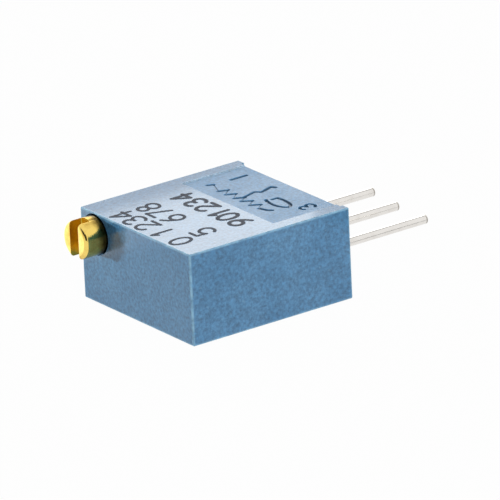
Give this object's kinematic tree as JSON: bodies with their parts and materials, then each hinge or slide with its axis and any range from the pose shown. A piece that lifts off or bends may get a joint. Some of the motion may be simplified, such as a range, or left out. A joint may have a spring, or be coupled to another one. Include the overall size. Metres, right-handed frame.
{
  "type": "trimmer potentiometer",
  "caption": "Multi-turn screw-adjusted trimmer potentiometer in a square moulded body, with a slotted brass screw at one end and a row of wire pins at the other.",
  "frame": {"origin": "on the middle pin's axis, in the plane of the two rails' ends that sit on the circuit board", "axes": "+X along the pins, away from the body; +Z out of the printed face, up as the part lies on its back face; the screw points to -X and lies on the +Y side"},
  "size_m": [0.0183, 0.0096, 0.005],
  "materials": {
    "blue_plastic": "moulded thermoplastic, faint satin grain",
    "brass": "turned, bright",
    "seal_rubber": "smooth moulded rubber",
    "spring_steel": "stamped strip",
    "natural_plastic": "unfilled moulded plastic",
    "contact_metal": "stamped precious-metal alloy",
    "alumina": "fired, unglazed",
    "cermet": "fired thick film",
    "conductor": "fired silver-palladium film",
    "tinned_wire": "tinned copper wire",
    "solder": "reflowed",
    "dark_plastic": "moulded plastic",
    "epoxy": "cured resin, smooth and slightly dished"
  },
  "bodies": {
    "case": {"housing": "blue_plastic", "screw_seal": "seal_rubber", "screw_retainer": "spring_steel", "ceramic_element": "alumina", "resistance_track": "cermet", "collector_track": "conductor", "end_pad_1": "conductor", "end_pad_3": "conductor", "terminal_pin_1": "tinned_wire", "terminal_pin_2": "tinned_wire", "terminal_pin_3": "tinned_wire", "solder_joint_1": "solder", "solder_joint_2": "solder", "solder_joint_3": "solder", "end_cover": "dark_plastic", "potting_seal": "epoxy"},
    "adjuster": {"adjusting_screw": "brass"},
    "rotor": {"worm_wheel": "natural_plastic", "wiper": "contact_metal"}
  },
  "joints": [
    {"name": "screw_turn", "type": "hinge", "parent": "case", "child": "adjuster", "pos_m": [-0.01003, 0.00349, 0.0017], "axis": [1, 0, 0], "range_deg": [-4410, 4590]},
    {"name": "wheel_turn", "type": "hinge", "parent": "case", "child": "rotor", "pos_m": [-0.0052, 0, 0.0017], "axis": [0, 0, 1], "range_deg": [-137.9, 143.5]}
  ],
  "couplings": [
    {"joint": "wheel_turn", "follows": "screw_turn", "ratio": 0.03125}
  ]
}
